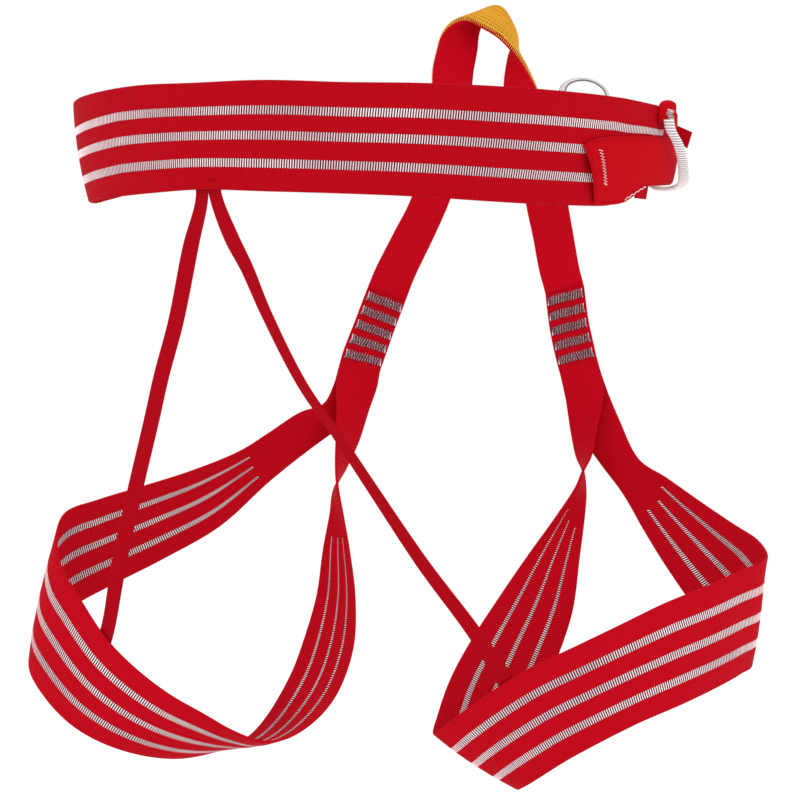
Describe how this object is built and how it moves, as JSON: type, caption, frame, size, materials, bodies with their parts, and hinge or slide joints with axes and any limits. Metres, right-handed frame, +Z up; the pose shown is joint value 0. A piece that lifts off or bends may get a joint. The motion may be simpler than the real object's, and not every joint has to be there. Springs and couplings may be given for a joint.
{
  "type": "tree climbing saddle",
  "caption": "Lightweight webbing sit harness with a wide waist belt, striped leg loops, elastic risers, a padded tie-in loop, gear loops and a front buckle.",
  "frame": {"origin": "centre of the waist ring at the middle of the belt's height", "axes": "+Z up, +Y to the wearer's front, +X to the wearer's right"},
  "size_m": [0.3464, 0.222, 0.3821],
  "materials": {
    "red_webbing": "woven",
    "red_fabric": "woven",
    "red_elastic": "woven",
    "yellow_lining": "quilted",
    "grey_thread": "stitched",
    "pale_thread": "stitched",
    "white_loop": "ribbed",
    "aluminium": "satin"
  },
  "bodies": {
    "belt": {"waist_belt": "red_webbing", "clipper_sleeve": "red_fabric", "sleeve_bartack": "pale_thread", "side_loop_tab_rear": "red_fabric", "side_loop_tab_front": "red_fabric", "rear_tab_bartack": "pale_thread", "sleeve_corner_tab": "red_fabric", "belt_end_tab": "red_fabric", "front_webbing": "red_webbing", "webbing_bartack": "grey_thread", "buckle_anchor_loop": "red_webbing", "anchor_bartack": "grey_thread", "buckle_frame": "aluminium", "tie_in_foot_left": "red_webbing", "tie_in_bartack_left": "grey_thread", "tie_in_foot_right": "red_webbing", "tie_in_bartack_right": "grey_thread", "front_loop_tab": "red_fabric", "strap_anchor_left": "red_webbing", "strap_anchor_right": "red_webbing", "strap_bartack_left": "grey_thread", "strap_bartack_right": "grey_thread", "riser_left": "red_elastic", "riser_right": "red_elastic"},
    "slider": {"buckle_slider": "aluminium"},
    "keeper": {"webbing_keeper": "red_elastic"},
    "tie_in": {"tie_in_loop": "red_webbing", "tie_in_lining": "yellow_lining"},
    "side_loop": {"side_gear_loop": "white_loop"},
    "front_loop": {"front_gear_loop": "white_loop"},
    "leg_left": {"leg_strap_left": "red_webbing", "leg_band_left": "red_webbing", "leg_bartack_left_1": "grey_thread", "leg_bartack_left_2": "grey_thread", "leg_bartack_left_3": "grey_thread", "leg_bartack_left_4": "grey_thread", "leg_bartack_left_5": "grey_thread"},
    "leg_right": {"leg_strap_right": "red_webbing", "leg_band_right": "red_webbing", "leg_bartack_right_1": "grey_thread", "leg_bartack_right_2": "grey_thread", "leg_bartack_right_3": "grey_thread", "leg_bartack_right_4": "grey_thread", "leg_bartack_right_5": "grey_thread"}
  },
  "joints": [
    {"name": "left_leg_swing", "type": "hinge", "parent": "belt", "child": "leg_left", "pos_m": [0.03, 0.1025, -0.0051], "axis": [0.9988, -0.0499, 0], "range_deg": [-15, 60], "stiffness_Nm_per_rad": 0.3, "springref_deg": -1.18, "deforming": ["riser_left"]},
    {"name": "right_leg_swing", "type": "hinge", "parent": "belt", "child": "leg_right", "pos_m": [0.08325, 0.08375, -0.0051], "axis": [0.8901, -0.4557, 0], "range_deg": [-15, 60], "stiffness_Nm_per_rad": 0.3, "springref_deg": -0.93, "deforming": ["riser_right"]},
    {"name": "tie_in_fold", "type": "hinge", "parent": "belt", "child": "tie_in", "pos_m": [0.0569, 0.1012, 0.018], "axis": [0.9422, -0.3349, 0], "range_deg": [-85, 0]},
    {"name": "side_loop_swing", "type": "hinge", "parent": "belt", "child": "side_loop", "pos_m": [0.1319, 0, 0.0061], "axis": [-0.0455, 0.9971, -0.0607], "range_deg": [-45, 0]},
    {"name": "front_loop_fold", "type": "hinge", "parent": "belt", "child": "front_loop", "pos_m": [0.1053, 0.075, 0.018], "axis": [0.793, -0.6092, 0], "range_deg": [-80, 0]},
    {"name": "slider_shift", "type": "slide", "parent": "belt", "child": "slider", "axis": [-0.9741, -0.226, 0], "range_m": [-0.004, 0]},
    {"name": "keeper_shift", "type": "slide", "parent": "belt", "child": "keeper", "axis": [-1, 0.0062, 0], "range_m": [-0.006, 0.004]}
  ]
}
